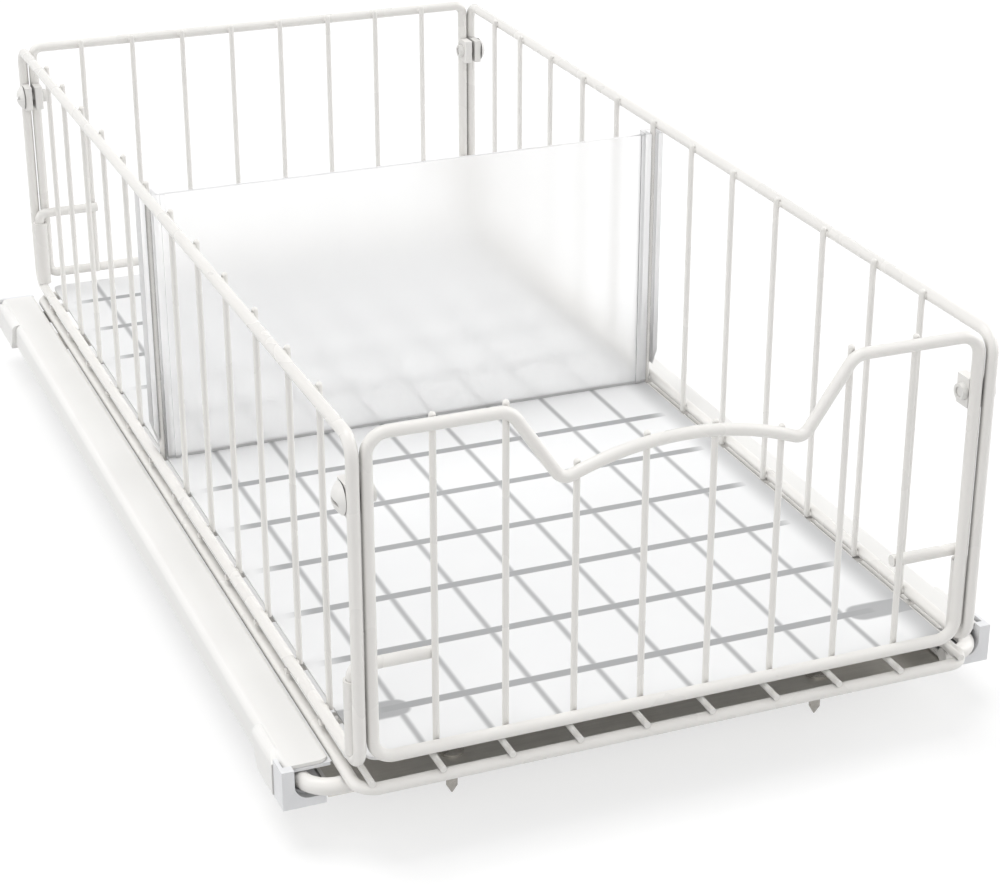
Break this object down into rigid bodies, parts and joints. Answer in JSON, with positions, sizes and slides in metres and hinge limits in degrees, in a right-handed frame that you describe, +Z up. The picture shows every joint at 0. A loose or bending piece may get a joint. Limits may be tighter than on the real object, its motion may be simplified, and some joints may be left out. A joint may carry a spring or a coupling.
{
  "type": "pull-out cabinet basket",
  "caption": "White wire basket with a dipped front handle, a flat liner and a clip-in divider, sliding forward on two low rails screwed to a cabinet floor.",
  "frame": {"origin": "on the cabinet floor, at the centre of the four fixing screws", "axes": "+X to the right seen from the front, -Y to the front (the way the basket pulls out), +Z up; the screws point along -Z"},
  "size_m": [0.265, 0.4762, 0.1527],
  "materials": {
    "white_wire": "warm white powder coat, satin",
    "rail_paint": "warm white powder coat, satin",
    "zinc_steel": "zinc plated sheet, dull grey",
    "screw_steel": "zinc plated screw",
    "guide_plastic": "light cool grey moulded plastic",
    "slider_plastic": "white moulded plastic",
    "clamp_plastic": "warm white moulded plastic",
    "clamp_screw_finish": "white coated screw and nut",
    "liner_sheet": "translucent white sheet, smooth",
    "divider_plastic": "translucent white moulded plastic, satin"
  },
  "bodies": {
    "rails": {"left_rail": "rail_paint", "right_rail": "rail_paint", "front_cross_bar": "zinc_steel", "rear_cross_bar": "zinc_steel", "left_front_guide": "guide_plastic", "right_front_guide": "guide_plastic", "left_rear_cap": "guide_plastic", "right_rear_cap": "guide_plastic", "mounting_screws": "screw_steel"},
    "basket": {"base_grid": "white_wire", "left_runner": "white_wire", "right_runner": "white_wire", "left_slider": "slider_plastic", "right_slider": "slider_plastic", "left_side": "white_wire", "right_side": "white_wire", "front_panel": "white_wire", "back_panel": "white_wire", "floor_liner": "liner_sheet", "front_left_socket": "white_wire", "front_right_socket": "white_wire", "back_left_socket": "white_wire", "back_right_socket": "white_wire", "front_left_clamp_outer": "clamp_plastic", "front_left_clamp_inner": "clamp_plastic", "front_right_clamp_outer": "clamp_plastic", "front_right_clamp_inner": "clamp_plastic", "back_left_clamp_outer": "clamp_plastic", "back_left_clamp_inner": "clamp_plastic", "back_right_clamp_outer": "clamp_plastic", "back_right_clamp_inner": "clamp_plastic", "clamp_screws": "clamp_screw_finish", "clamp_nuts": "clamp_screw_finish"},
    "divider": {"divider": "divider_plastic"}
  },
  "joints": [
    {"name": "basket_slide", "type": "slide", "parent": "rails", "child": "basket", "axis": [0, -1, 0], "range_m": [0, 0.36]},
    {"name": "divider_unclip", "type": "slide", "parent": "basket", "child": "divider", "axis": [0, 1, 0], "range_m": [0, 0.024]}
  ]
}
